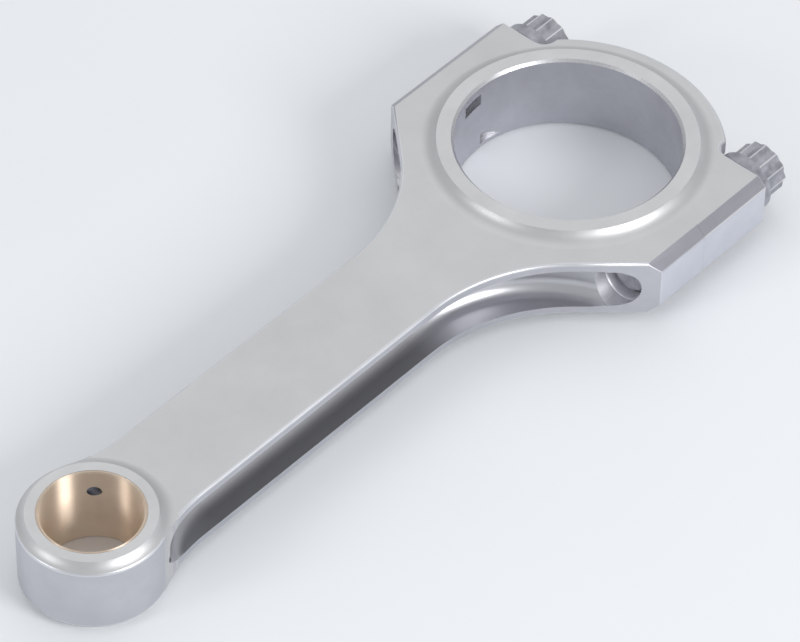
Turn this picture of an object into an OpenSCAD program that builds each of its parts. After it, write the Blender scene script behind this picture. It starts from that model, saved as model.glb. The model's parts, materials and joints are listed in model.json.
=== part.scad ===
// H-beam connecting rod: rod body, bolted bearing cap, two 12-point cap bolts in ring
// dowel sleeves, and a bronze pin bush.
// The origin is the centre of the big-end bore at mid width. +X runs to the small end,
// +Z runs along both bores, and the cap is on the -X side of the parting plane x = 0.

/* [Overall] */
// Distance between the axes of the two bores
centre_distance = 152; // [130:0.5:190]
// Width over the thrust faces of both ends
end_width = 19.8; // [16.4:0.1:24]
// Thickness of the body between the thrust rings' feet
body_thickness = 15.2; // [12.6:0.1:16.2]

/* [Big end] */
// Diameter of the bore that holds the bearing shells
housing_bore_d = 51; // [42:0.5:62]
// Radial width of the raised thrust ring around the housing bore
big_ring_width = 3.9; // [3:0.1:5]
// Radius of the cove between each thrust ring and the body
ring_cove = 4.5; // [3:0.1:5.5]
// Radial thickness of the cap between the bore and its round back
cap_back = 10; // [8.5:0.1:12]
// Distance from the parting plane to the bolt heads' seat
seat_depth = 21.4; // [17.8:0.1:25]
// Material outside the bolt axis on each side of the big end
side_wall = 8; // [7:0.1:9.6]
// Size of the 45 degree bevels along the big end's sides
side_bevel = 2.5; // [1:0.1:3]
// Distance from the parting plane to the corners of the shoulders
shoulder_rise = 14.7; // [12.5:0.1:17]
// Distance from the parting plane to the deepest full thread in the shoulders
thread_length = 18; // [16:0.1:20]
// Depth of the bearing tang notches in the bore wall
tang_depth = 1.3; // [0.8:0.1:1.6]
// Width of the bearing tang notches
tang_width = 3.1; // [2.4:0.1:3.8]
// Distance from mid width to the middle of the rod's tang notch
rod_tang_offset = 5.7; // [4.8:0.1:6.4]
// Distance from mid width to the middle of the cap's tang notch
cap_tang_offset = 6.7; // [5.6:0.1:7.4]

/* [Small end] */
// Diameter of the pin bore in the bush
pin_bore_d = 22; // [18:0.5:27]
// Radial thickness of the bronze bush
bush_wall = 0.7; // [0.5:0.05:1.2]
// Size of the bevels at the bush's mouths
bush_edge = 0.25; // [0.1:0.05:0.4]
// Radial width of the steel eye around the bush
eye_wall = 4.3; // [3.5:0.1:5.5]
// Distance that the small end's thrust ring stands in from the eye's outside
eye_step = 2; // [1.5:0.1:2.4]
// Diameter of the oil holes in the small end
oil_hole_d = 2.6; // [1.8:0.1:3.2]

/* [Beam] */
// Width across the beam's flanges
beam_width = 23.8; // [20:0.2:28]
// Thickness of each flange
flange = 2.2; // [1.9:0.1:3]
// Thickness of the web between the side grooves
web = 9.4; // [7:0.2:12]
// Radius of the corners at the bottom of the side grooves
groove_corner = 3.8; // [1:0.1:4]
// Radius of the flare from the beam to the big end
flare_radius = 42; // [36:0.5:50]
// Angle of the shoulders' slanted faces to the beam
flare_angle = 47.5; // [45:0.5:52]
// Radius of the blend from the beam to the small end
eye_blend = 40; // [32:0.5:48]
// Wall left between the housing bore and the run-out of each side groove
big_groove_wall = 6.8; // [5.5:0.1:8]
// Wall left between the bush's seat and the run-out of each side groove
small_groove_wall = 4; // [3.4:0.1:5]
// Length of each side groove's run-out beside the small end's eye
small_run_length = 11; // [9:0.5:13]

/* [Cap bolts] */
// Diameter of the cap bolts
bolt_d = 9.52; // [8:0.02:11.5]
// Distance that the round flange under the head stands out from the shank
bolt_flange_step = 2.54; // [2:0.02:2.8]
// Distance that the points of the head stand out from the shank
bolt_point_step = 1.5; // [1:0.05:1.8]
// Length of the bolt head from its seat to its top
bolt_head_length = 10; // [8.5:0.1:12]
// Thickness of the round flange under the bolt head
bolt_flange_thickness = 3.4; // [2:0.1:4]
// Distance that the bolt's end stays below the mouth of its threaded hole
bolt_recess = 2; // [1:0.1:3]
// Wall of the ring dowel sleeves
sleeve_wall = 0.6; // [0.5:0.05:0.9]
// Depth of the ring dowel sleeves in each half
sleeve_depth = 4; // [3:0.1:5]

/* [Hidden] */
$fn = 96;

// How far cutters run past the solids that they cut
past = 1;
// How far blended shapes sink into each other, so that they cross instead of just touching
sink = 0.04;

// Clearances
bolt_clearance = 0.05;
sleeve_clearance = 0.05;
sleeve_bolt_gap = 0.14;
counterbore_gap = 0.34;
spot_face_gap = 0.4;

// Big end
housing_r = housing_bore_d / 2;
big_ring_r = housing_r + big_ring_width;
cap_r = housing_r + cap_back;
bore_edge = 0.6;
bolt_r = bolt_d / 2;
sleeve_bore_r = bolt_r + sleeve_bolt_gap;
sleeve_r = sleeve_bore_r + sleeve_wall;
sleeve_to_bore = 0.5;
bolt_y = housing_r + sleeve_to_bore + sleeve_r;
big_half_width = bolt_y + side_wall;
ring_rise = (end_width - body_thickness) / 2;
cove_r = max(ring_cove, ring_rise);
cove_level = body_thickness / 2 - sink + cove_r;
cove_run = sqrt(pow(cove_r, 2) - pow(cove_level - end_width / 2, 2));

// Small end
pin_r = pin_bore_d / 2;
bush_r = pin_r + bush_wall;
eye_r = bush_r + eye_wall;
small_ring_r = eye_r - eye_step;

// Outline of the flare: a straight slanted face, then an arc that runs out along the beam
beam_half = beam_width / 2;
slant_reach = shoulder_rise * sin(flare_angle) + big_half_width * cos(flare_angle);
flare_y = beam_half + flare_radius;
flare_x = (slant_reach + flare_radius - flare_y * cos(flare_angle)) / sin(flare_angle);
flare_end = [flare_x - flare_radius * sin(flare_angle), flare_y - flare_radius * cos(flare_angle)];

// Outline of the blend to the small end, tangent to the beam and to the eye
blend_y = beam_half + eye_blend;
blend_x = centre_distance - sqrt(pow(eye_r + eye_blend, 2) - pow(blend_y, 2));
blend_end = [centre_distance + (blend_x - centre_distance) * eye_r / (eye_r + eye_blend),
             blend_y * eye_r / (eye_r + eye_blend)];

// Side grooves: straight along the web, with a round run-out towards each bore.
// Each run-out keeps a given thickness of material around its bore.
groove_half = body_thickness / 2 - flange;
web_half = web / 2;
big_keep = housing_r + big_groove_wall;
small_keep = bush_r + small_groove_wall;
flare_overlap = 3.4;
big_run_x = flare_x - flare_overlap;
small_run_x = centre_distance - eye_r - small_run_length;
big_run_r = run_out_radius(big_run_x, big_keep);
small_run_r = run_out_radius(centre_distance - small_run_x, small_keep);

// Bolts and their holes
counterbore_r = bolt_r + counterbore_gap;
mouth_edge = 0.5;
bolt_end = thread_length - bolt_recess;
bolt_flange_r = bolt_r + bolt_flange_step;
spot_face_r = bolt_flange_r + spot_face_gap;
head_point_r = bolt_r + bolt_point_step;
head_edge = 0.5;
relief_inset = 6.6;
relief_y = bolt_y - relief_inset;
relief_corner = 3;

// Tang notches: cut by a disc whose rim reaches tang_depth into the bore wall
tang_cutter_r = 10.5;

// Oil holes: angle about the pin bore where each opens, direction, and height
oil_opening = 137.7;
oil_direction = 101;
oil_heights = [4.2, -1.5];

// Radius of a run-out arc that starts on the web at distance reach from a bore's axis
// and passes that axis at distance keep
function run_out_radius(reach, keep) =
    (reach * reach + web_half * web_half - keep * keep) / (2 * (keep - web_half));

// Right-hand half of a thrust ring's section: a raised flat with a cove down to the body
module ring_section(ring_r) {
    difference() {
        translate([0, -end_width / 2]) square([ring_r + cove_run, end_width]);
        for (side = [-1, 1])
            translate([ring_r + cove_run, side * cove_level]) circle(r = cove_r);
    }
}

// Bore with a bevelled edge at both thrust faces, about the Z axis
module bevelled_bore(r, bevel) {
    face = end_width / 2;
    rotate_extrude()
        polygon([[0, -face - past], [r + bevel + past, -face - past], [r, -face + bevel],
                 [r, face - bevel], [r + bevel + past, face + past], [0, face + past]]);
}

// Places its children on the +Y side and mirrored on the -Y side
module both_sides() {
    children();
    mirror([0, 1, 0]) children();
}

// Cylinder along +X that starts at x = from, on the bolt axis of the +Y side
module along_bolt(from, length, r) {
    translate([from, bolt_y, 0]) rotate([0, 90, 0]) cylinder(h = length, r = r);
}

// Plan of the rod body on the small end's side of the parting plane
module rod_plan() {
    difference() {
        union() {
            both_sides()
                polygon([[0, 0], [0, big_half_width], [shoulder_rise, big_half_width], flare_end,
                         [flare_x, beam_half], [blend_x, beam_half], blend_end,
                         [centre_distance, 0]]);
            translate([centre_distance, 0]) circle(r = eye_r);
        }
        both_sides() {
            translate([flare_x, flare_y]) circle(r = flare_radius);
            translate([blend_x, blend_y]) circle(r = eye_blend);
        }
    }
}

// Plan of the cap: a round back with a square-edged boss for each bolt
module cap_plan() {
    difference() {
        union() {
            intersection() {
                circle(r = cap_r);
                translate([-cap_r - past, -cap_r - past]) square([cap_r + past, 2 * (cap_r + past)]);
            }
            translate([-seat_depth, -big_half_width]) square([seat_depth, 2 * big_half_width]);
        }
        both_sides() {
            translate([-cap_r - past, relief_y])
                square([cap_r + past - seat_depth - relief_corner, cap_r]);
            translate([-cap_r - past, relief_y + relief_corner])
                square([cap_r + past - seat_depth, cap_r]);
            translate([-seat_depth - relief_corner, relief_y + relief_corner])
                circle(r = relief_corner);
        }
    }
}

// 45 degree bevels along the big end's sides, above and below
module side_bevels() {
    both_sides()
        for (side = [0, 1]) mirror([0, 0, side])
            translate([-seat_depth - past, big_half_width, body_thickness / 2])
                rotate([90, 0, 90])
                    linear_extrude(height = seat_depth + shoulder_rise + 2 * past + side_bevel)
                        polygon([[-side_bevel, 0], [past, -side_bevel - past],
                                 [past, past], [-side_bevel - past, past]]);
}

// Section of a side groove, square to its length: [depth from the web, height]
module groove_section(depth) {
    difference() {
        translate([0, -groove_half]) square([depth, 2 * groove_half]);
        for (side = [-1, 1])
            translate([0, side * (groove_half - groove_corner)]) difference() {
                translate([-past, side > 0 ? 0 : -groove_corner - past])
                    square([groove_corner + past, groove_corner + past]);
                translate([groove_corner, 0]) circle(r = groove_corner);
            }
    }
}

// Round end of a groove: its wall swings away from the web about a point beside the beam
module groove_run_out(x, r, towards) {
    translate([x, web_half + r, 0])
        rotate_extrude(angle = 90, start = towards < 0 ? 180 : 270)
            translate([r, 0]) mirror([1, 0]) groove_section(r / 2);
}

// Side groove of the +Y side
module side_groove() {
    depth = beam_half - web_half + past;
    translate([big_run_x, web_half, 0]) rotate([90, 0, 90])
        linear_extrude(height = small_run_x - big_run_x) groove_section(depth);
    groove_run_out(big_run_x, big_run_r, -1);
    groove_run_out(small_run_x, small_run_r, 1);
}

// Threaded hole of the +Y side, from the sleeve's seat to the shoulder's slanted face
module bolt_hole_in_rod() {
    along_bolt(-past, thread_length + 2 * past, bolt_r + bolt_clearance);
    along_bolt(-past, sleeve_depth + past, sleeve_r);
    along_bolt(thread_length, shoulder_rise + big_half_width, counterbore_r);
    translate([thread_length - mouth_edge, bolt_y, 0]) rotate([0, 90, 0])
        cylinder(h = 2 * mouth_edge, r1 = bolt_r, r2 = bolt_r + 2 * mouth_edge);
}

// Notch for a bearing shell's tang, on the -Y side of the bore
module tang_notch(height) {
    translate([0, -housing_r - tang_depth + tang_cutter_r, height - tang_width / 2])
        cylinder(h = tang_width, r = tang_cutter_r);
}

// Drills both oil holes through the small end's wall
module oil_holes() {
    for (i = [0, 1]) {
        side = i == 0 ? -1 : 1;
        translate([centre_distance + pin_r * cos(oil_opening), side * pin_r * sin(oil_opening),
                   oil_heights[i]])
            rotate([0, 90, side * oil_direction])
                translate([0, 0, -pin_r / 4]) cylinder(h = eye_r, d = oil_hole_d);
    }
}

module rod_body() {
    color("lightsteelblue") difference() {
        union() {
            translate([0, 0, -body_thickness / 2])
                linear_extrude(height = body_thickness) rod_plan();
            rotate_extrude(angle = 180, start = 270) ring_section(big_ring_r);
            intersection() {
                translate([0, 0, -end_width / 2]) linear_extrude(height = end_width) rod_plan();
                translate([centre_distance, 0, 0]) rotate_extrude() ring_section(small_ring_r);
            }
        }
        bevelled_bore(housing_r, bore_edge);
        translate([centre_distance, 0, -end_width]) cylinder(h = 2 * end_width, r = bush_r);
        side_bevels();
        both_sides() {
            side_groove();
            bolt_hole_in_rod();
        }
        oil_holes();
        intersection() {
            tang_notch(rod_tang_offset);
            translate([0, -2 * housing_r, 0]) cube([housing_r, 2 * housing_r, end_width]);
        }
    }
}

module bearing_cap() {
    color("lightsteelblue") difference() {
        union() {
            translate([0, 0, -body_thickness / 2])
                linear_extrude(height = body_thickness) cap_plan();
            rotate_extrude(angle = 180, start = 90) ring_section(big_ring_r);
        }
        bevelled_bore(housing_r, bore_edge);
        side_bevels();
        both_sides() {
            along_bolt(-seat_depth - past, seat_depth + 2 * past, sleeve_bore_r);
            along_bolt(-sleeve_depth, sleeve_depth + past, sleeve_r + sleeve_clearance);
            along_bolt(-seat_depth - cap_r, cap_r, spot_face_r);
        }
        intersection() {
            tang_notch(-cap_tang_offset);
            translate([-housing_r, -2 * housing_r, -end_width])
                cube([housing_r, 2 * housing_r, end_width]);
        }
    }
}

// Bronze bush pressed into the small end
module pin_bush() {
    color("peru") translate([centre_distance, 0, 0]) difference() {
        translate([0, 0, -end_width / 2]) cylinder(h = end_width, r = bush_r);
        bevelled_bore(pin_r, bush_edge);
        translate([-centre_distance, 0, 0]) oil_holes();
    }
}

// Cap bolt on the +Y side: shank, round flange and 12-point head
module cap_bolt() {
    head_base = -seat_depth - bolt_flange_thickness;
    head_height = bolt_head_length - bolt_flange_thickness;
    head_top = -seat_depth - bolt_head_length;
    along_bolt(-seat_depth - bolt_flange_thickness / 2,
               seat_depth + bolt_flange_thickness / 2 + bolt_end, bolt_r);
    along_bolt(head_base, bolt_flange_thickness, bolt_flange_r);
    intersection() {
        translate([head_top, bolt_y, 0]) rotate([0, 90, 0])
            linear_extrude(height = head_height + past)
                for (turn = [0, 30]) rotate(turn) circle(r = head_point_r, $fn = 6);
        translate([head_top, bolt_y, 0]) rotate([0, 90, 0]) rotate_extrude()
            polygon([[0, 0], [head_point_r - head_edge, 0], [head_point_r + past, head_edge + past],
                     [head_point_r + past, head_height + 2 * past], [0, head_height + 2 * past]]);
    }
}

module cap_bolt_near() {
    color("dimgray") cap_bolt();
}

module cap_bolt_far() {
    color("dimgray") mirror([0, 1, 0]) cap_bolt();
}

// Ring dowel sleeve on the +Y side, half in the rod and half in the cap
module alignment_sleeve() {
    difference() {
        along_bolt(-sleeve_depth + sleeve_clearance, 2 * sleeve_depth - sleeve_clearance, sleeve_r);
        along_bolt(-sleeve_depth - past, 2 * (sleeve_depth + past), sleeve_bore_r);
    }
}

module alignment_sleeve_near() {
    color("silver") alignment_sleeve();
}

module alignment_sleeve_far() {
    color("silver") mirror([0, 1, 0]) alignment_sleeve();
}

rod_body();
bearing_cap();
pin_bush();
cap_bolt_near();
cap_bolt_far();
alignment_sleeve_near();
alignment_sleeve_far();
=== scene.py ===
"""Visual model of an H-beam connecting rod, built around its CAD frame.

Everything is in metres in the CAD's own frame: the origin is the centre of the big end,
+X runs to the small end and +Z runs along both bores. The sizes in the classes are written
in millimetres times MM.
"""

from __future__ import annotations

import json
import logging
import math
from dataclasses import dataclass
from enum import Enum
from typing import Callable

import bmesh
import bpy
from mathutils import Matrix, Vector

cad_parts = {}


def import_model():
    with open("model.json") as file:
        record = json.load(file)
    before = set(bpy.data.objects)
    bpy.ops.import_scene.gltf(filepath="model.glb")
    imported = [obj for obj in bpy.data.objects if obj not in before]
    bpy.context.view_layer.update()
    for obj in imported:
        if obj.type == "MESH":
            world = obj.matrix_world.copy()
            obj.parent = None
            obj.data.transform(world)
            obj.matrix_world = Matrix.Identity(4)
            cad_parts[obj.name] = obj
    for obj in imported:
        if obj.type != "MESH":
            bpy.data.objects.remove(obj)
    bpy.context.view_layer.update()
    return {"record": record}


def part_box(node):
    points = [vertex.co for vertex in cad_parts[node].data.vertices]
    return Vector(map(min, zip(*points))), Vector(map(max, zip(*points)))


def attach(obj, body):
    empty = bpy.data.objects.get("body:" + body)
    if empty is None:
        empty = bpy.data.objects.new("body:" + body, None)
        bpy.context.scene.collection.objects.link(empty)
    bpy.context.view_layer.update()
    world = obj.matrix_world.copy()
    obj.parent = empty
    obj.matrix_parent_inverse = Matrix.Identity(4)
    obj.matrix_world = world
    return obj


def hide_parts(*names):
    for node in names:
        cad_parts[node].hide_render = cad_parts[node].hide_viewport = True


LOG = logging.getLogger("connecting_rod")
MM = 0.001

# Points closer than WELD are one, edges over LONG run along the part, and solids that are
# joined overlap by SINK.
WELD = 0.001 * MM
LONG = 10.0 * MM
SINK = 0.02 * MM

# Facets around the small end's round shapes, the big end's and the bolts'.
SMALL_STEPS = 192
BIG_STEPS = 240
BOLT_STEPS = 72

Piece = bpy.types.Object
Material = bpy.types.Material
Socket = bpy.types.NodeSocket
Edge = bmesh.types.BMEdge
Face = bpy.types.MeshPolygon
Pair = tuple[float, float]
Triple = tuple[float, float, float]


class Side(Enum):
    """Which side of the rod's middle a mirrored piece is on."""

    NEAR = 1
    FAR = -1


class Axis(Enum):
    """The two directions that round shapes turn about."""

    X = (1.0, 0.0, 0.0)
    Z = (0.0, 0.0, 1.0)


# ---------------------------------------------------------------- bench tools


def clear_bench() -> None:
    """Leaves edit mode and selects nothing, so that operators act on new work only."""
    if bpy.context.mode != "OBJECT":
        bpy.ops.object.mode_set(mode="OBJECT")
    bpy.ops.object.select_all(action="DESELECT")


def pick_up(piece: Piece, editing: bool = False) -> None:
    """Makes a piece the only one worked on.

    Args:
        piece: The piece to select.
        editing: Whether to go on in edit mode with everything in it selected.
    """
    clear_bench()
    piece.select_set(True)
    bpy.context.view_layer.objects.active = piece
    if editing:
        bpy.ops.object.mode_set(mode="EDIT")
        bpy.ops.mesh.select_mode(type="VERT")
        bpy.ops.mesh.select_all(action="SELECT")


def close_up() -> None:
    """Turns all faces of the piece being edited outwards and leaves edit mode."""
    bpy.ops.mesh.select_all(action="SELECT")
    bpy.ops.mesh.normals_make_consistent(inside=False)
    clear_bench()


def select_edges(piece: Piece, wanted: Callable[[Edge], bool]) -> int:
    """Selects only the edges that a test accepts, in edit mode.

    Args:
        piece: The piece being edited.
        wanted: Test that an edge has to pass.

    Returns:
        How many edges were selected.
    """
    bpy.ops.mesh.select_mode(type="EDGE")
    bpy.ops.mesh.select_all(action="DESELECT")
    mesh = bmesh.from_edit_mesh(piece.data)
    chosen = [edge for edge in mesh.edges if wanted(edge)]
    for edge in chosen:
        edge.select_set(True)
    bmesh.update_edit_mesh(piece.data)
    return len(chosen)


def slot_of(piece: Piece, finish: Material) -> int:
    """Gives the number of a piece's slot for a finish, and adds one where it has none."""
    if finish.name not in piece.data.materials:
        piece.data.materials.append(finish)
    return piece.data.materials.find(finish.name)


def on_arc(point: Vector, centre: Pair, radius: float, near: float) -> bool:
    """Tells whether a point, or its mirror image across the beam, lies on an arc in plan."""
    return abs(math.hypot(point.x - centre[0], abs(point.y) - centre[1]) - radius) < near


def is_sharp(edge: Edge, degrees: float = 25.0) -> bool:
    """Tells whether an edge joins two faces that meet at more than an angle."""
    return len(edge.link_faces) == 2 and edge.calc_face_angle(0.0) > math.radians(degrees)


def round_edges(piece: Piece, wanted: Callable[[Edge], bool], radius: float, segments: int = 3,
                clamp: bool = False, finish: Material | None = None) -> None:
    """Rounds over the edges that a test accepts.

    Args:
        piece: The piece to work on.
        wanted: Test that an edge has to pass.
        radius: Width of the rounding on each face.
        segments: Number of facets across the rounding.
        clamp: Whether the rounding narrows rather than overlap itself.
        finish: Finish of the rounding, or None for that of the faces beside it.
    """
    slot = -1 if finish is None else slot_of(piece, finish)
    pick_up(piece, editing=True)
    if select_edges(piece, wanted):
        bpy.ops.mesh.bevel(offset=radius, segments=segments, profile=0.5, clamp_overlap=clamp,
                           material=slot)
    clear_bench()


def work(piece: Piece, tool: Piece, operation: str = "DIFFERENCE") -> None:
    """Joins a tool's shape to a piece or cuts it out, and puts the tool away.

    The faces that the tool leaves behind keep the tool's finish.

    Args:
        piece: The piece to change.
        tool: Closed solid that is used up.
        operation: DIFFERENCE, UNION or INTERSECT.
    """
    pick_up(piece)
    step = piece.modifiers.new("work", "BOOLEAN")
    step.object = tool
    step.operation = operation
    step.solver = "MANIFOLD"
    step.material_mode = "TRANSFER"
    bpy.ops.object.modifier_apply(modifier=step.name)
    bpy.data.objects.remove(tool, do_unlink=True)


def slice_off(piece: Piece, point: Vector, outward: Vector) -> None:
    """Planes away everything on one side of a plane and closes the cut.

    Args:
        piece: The piece to plane.
        point: A point on the plane.
        outward: Direction of the side that goes.
    """
    pick_up(piece, editing=True)
    bpy.ops.mesh.bisect(plane_co=point, plane_no=outward, use_fill=True, clear_outer=True)
    clear_bench()


def polish(piece: Piece, degrees: float = 32.0) -> None:
    """Welds a piece's points, shades it smooth up to an angle, and lets large faces rule.

    Args:
        piece: The piece to finish.
        degrees: Largest angle between faces that still look like one surface.
    """
    pick_up(piece, editing=True)
    bpy.ops.mesh.remove_doubles(threshold=WELD)
    bpy.ops.mesh.normals_make_consistent(inside=False)
    clear_bench()
    pick_up(piece)
    bpy.ops.object.shade_smooth_by_angle(angle=math.radians(degrees))
    normals = piece.modifiers.new("normals", "WEIGHTED_NORMAL")
    normals.keep_sharp = True
    bpy.ops.object.modifier_apply(modifier=normals.name)
    clear_bench()


class Pen:
    """Draws an outline in edit mode by extruding one point, then makes a solid of it."""

    def __init__(self, name: str, start: Vector) -> None:
        """Starts an outline.

        Args:
            name: Name of the new piece.
            start: First point.
        """
        clear_bench()
        bpy.ops.mesh.primitive_plane_add(size=MM, location=(0.0, 0.0, 0.0))
        self.piece: Piece = bpy.context.active_object
        self.piece.name = name
        bpy.ops.object.mode_set(mode="EDIT")
        bpy.ops.mesh.select_mode(type="VERT")
        bpy.ops.mesh.select_all(action="SELECT")
        bpy.ops.mesh.merge(type="CENTER")
        bpy.ops.transform.translate(value=start)
        self.at = Vector(start)

    def line(self, *points: Vector) -> Pen:
        """Goes straight to each point in turn."""
        for point in points:
            bpy.ops.mesh.extrude_region_move(
                TRANSFORM_OT_translate={"value": Vector(point) - self.at})
            self.at = Vector(point)
        return self

    def arc(self, centre: Vector, degrees: float, steps: int,
            axis: Vector = Vector((0.0, 0.0, 1.0))) -> Pen:
        """Goes round part of a circle.

        Args:
            centre: Centre of the circle.
            degrees: Angle to go, by the right-hand rule about axis.
            steps: Number of straight stretches.
            axis: Direction of the circle's axis.
        """
        angle = math.radians(degrees)
        bpy.ops.mesh.spin(steps=steps, angle=-angle, center=centre, axis=axis)
        self.at = Vector(centre) + Matrix.Rotation(angle, 3, axis) @ (self.at - Vector(centre))
        return self

    def _close(self) -> None:
        """Joins the last point to the first."""
        bpy.ops.mesh.select_all(action="SELECT")
        bpy.ops.mesh.remove_doubles(threshold=WELD)

    def extruded(self, along: Vector) -> Piece:
        """Fills the closed outline and extrudes it.

        Args:
            along: Direction and length of the extrusion.

        Returns:
            The finished solid.
        """
        self._close()
        bpy.ops.mesh.edge_face_add()
        bpy.ops.mesh.extrude_region_move(TRANSFORM_OT_translate={"value": along})
        close_up()
        return self.piece

    def turned(self, centre: Vector, axis: Axis, steps: int) -> Piece:
        """Turns the closed outline all the way round an axis, as on a lathe.

        Args:
            centre: A point on the axis.
            axis: Direction of the axis.
            steps: Number of facets around.

        Returns:
            The finished solid.
        """
        self._close()
        bpy.ops.mesh.spin(steps=steps, angle=math.tau, center=centre, axis=axis.value)
        bpy.ops.mesh.select_all(action="SELECT")
        bpy.ops.mesh.remove_doubles(threshold=WELD)
        bpy.ops.mesh.dissolve_degenerate(threshold=WELD)
        bpy.ops.mesh.delete_loose(use_verts=True, use_edges=True, use_faces=False)
        close_up()
        return self.piece


def turned_profile(name: str, profile: list[Pair], centre: Vector, axis: Axis,
                   steps: int) -> Piece:
    """Turns a straight-sided profile on a lathe.

    Args:
        name: Name of the new piece.
        profile: Distances along the axis and from it, in order around the profile.
        centre: Point on the axis that distances along it count from.
        axis: Direction of the axis.
        steps: Number of facets around.

    Returns:
        The turned solid.
    """
    if axis is Axis.X:
        points = [centre + Vector((along, out, 0.0)) for along, out in profile]
    else:
        points = [centre + Vector((out, 0.0, along)) for along, out in profile]
    return Pen(name, points[0]).line(*points[1:], points[0]).turned(centre, axis, steps)


# ------------------------------------------------------------------- finishes


class Sheet:
    """A new node material with its Principled shader, and short ways to add to it."""

    def __init__(self, name: str) -> None:
        """Starts a material.

        Args:
            name: Name of the material.
        """
        self.material = bpy.data.materials.new(name)
        self.material.use_nodes = True
        self.nodes = self.material.node_tree.nodes
        self.links = self.material.node_tree.links
        self.shader = self.nodes["Principled BSDF"]
        self.place = self.nodes.new("ShaderNodeTexCoord").outputs["Object"]

    def feed(self, socket: Socket, value: object) -> None:
        """Sets a socket, or links another node's output to it."""
        if isinstance(value, Socket):
            self.links.new(value, socket)
        else:
            socket.default_value = value

    def set(self, name: str, value: object) -> None:
        """Sets one of the shader's sockets, or links a texture to it."""
        self.feed(self.shader.inputs[name], value)

    def add(self, kind: str, inputs: dict[str | int, object]) -> bpy.types.Node:
        """Adds a node.

        Args:
            kind: The node's type, without its usual start.
            inputs: Value or link of each socket, by name or number.

        Returns:
            The node.
        """
        node = self.nodes.new(f"ShaderNode{kind}")
        for name, value in inputs.items():
            self.feed(node.inputs[name], value)
        return node

    def math(self, operation: str, first: object, second: object) -> Socket:
        """Gives the result of an operation on two values or links."""
        node = self.add("Math", {0: first, 1: second})
        node.operation = operation
        return node.outputs[0]

    def scaled(self, scale: Triple, centre: Triple = (0.0, 0.0, 0.0)) -> Socket:
        """Gives object coordinates, stretched about a point.

        Args:
            scale: Factor along each axis.
            centre: Point that stays at zero.

        Returns:
            The stretched coordinates.
        """
        moved = [-s * c for s, c in zip(scale, centre)]
        inputs = {"Scale": scale, "Location": moved, "Vector": self.place}
        return self.add("Mapping", inputs).outputs["Vector"]

    def around(self, centre: Triple, turn_scale: float, along_scale: float) -> Socket:
        """Gives coordinates that run around a Z axis and along it, for tool marks.

        Args:
            centre: A point on the axis.
            turn_scale: Factor on the angle.
            along_scale: Factor on the distance along the axis.

        Returns:
            Coordinates with the angle in X and the height in Z.
        """
        split = self.add("SeparateXYZ", {0: self.scaled((1.0, 1.0, 1.0), centre)}).outputs
        angle = self.math("ARCTAN2", split["Y"], split["X"])
        turns = self.math("MULTIPLY", angle, turn_scale)
        height = self.math("MULTIPLY", split["Z"], along_scale)
        return self.add("CombineXYZ", {"X": turns, "Z": height}).outputs[0]

    def noise(self, where: Socket, scale: float, detail: float = 3.0,
              rough: float = 0.55) -> Socket:
        """Adds a noise texture.

        Args:
            where: Coordinates it reads.
            scale: Repeats per unit of the coordinates.
            detail: Number of finer layers.
            rough: Strength of the finer layers.

        Returns:
            The noise value.
        """
        inputs = {"Vector": where, "Scale": scale, "Detail": detail, "Roughness": rough}
        return self.add("TexNoise", inputs).outputs["Fac"]

    def spread(self, value: Socket, low: float, high: float, start: float = 0.3,
               end: float = 0.7) -> Socket:
        """Maps a value to a range.

        Args:
            value: Value to map.
            low: Result at start.
            high: Result at end.
            start: Value that gives low.
            end: Value that gives high.

        Returns:
            The mapped value.
        """
        inputs = {"Value": value, "From Min": start, "From Max": end, "To Min": low,
                  "To Max": high}
        return self.add("MapRange", inputs).outputs["Result"]

    def blend(self, value: Socket, low: Triple, high: Triple) -> Socket:
        """Mixes two linear colours by a value.

        Args:
            value: Value that the mix follows.
            low: Colour at 0.3 and below.
            high: Colour at 0.7 and above.

        Returns:
            The mixed colour.
        """
        ramp = self.add("ValToRGB", {"Fac": value})
        for element, position, colour in zip(ramp.color_ramp.elements, (0.3, 0.7), (low, high)):
            element.position = position
            element.color = (*colour, 1.0)
        return ramp.outputs["Color"]

    def bump(self, height: Socket, depth: float, strength: float, **below: Socket) -> Socket:
        """Adds relief.

        Args:
            height: Relief from 0 to 1.
            depth: Its height in metres.
            strength: Its visible strength.
            **below: Normal of a coarser relief that this one lies on, where there is one.

        Returns:
            The bumped normal.
        """
        inputs = {"Height": height, "Distance": depth, "Strength": strength, **below}
        return self.add("Bump", inputs).outputs["Normal"]

    def metal(self, colour: Triple, cloud: Socket, variation: float) -> None:
        """Makes the shader a metal whose colour varies a little.

        Args:
            colour: Middle colour, linear.
            cloud: Noise that the variation follows.
            variation: Share by which the colour goes up and down.
        """
        self.set("Metallic", 1.0)
        self.set("Base Color", self.blend(cloud, shade_of(colour, 1.0 - variation),
                                          shade_of(colour, 1.0 + variation)))

    def roughness(self, value: Socket, middle: float, less: float, more: float) -> None:
        """Makes the roughness follow a noise value, from less below its middle to more above."""
        self.set("Roughness", self.spread(value, middle - less, middle + more))


def shade_of(colour: Triple, factor: float) -> Triple:
    """Darkens or lightens a linear colour by a factor."""
    return tuple(channel * factor for channel in colour)


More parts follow.
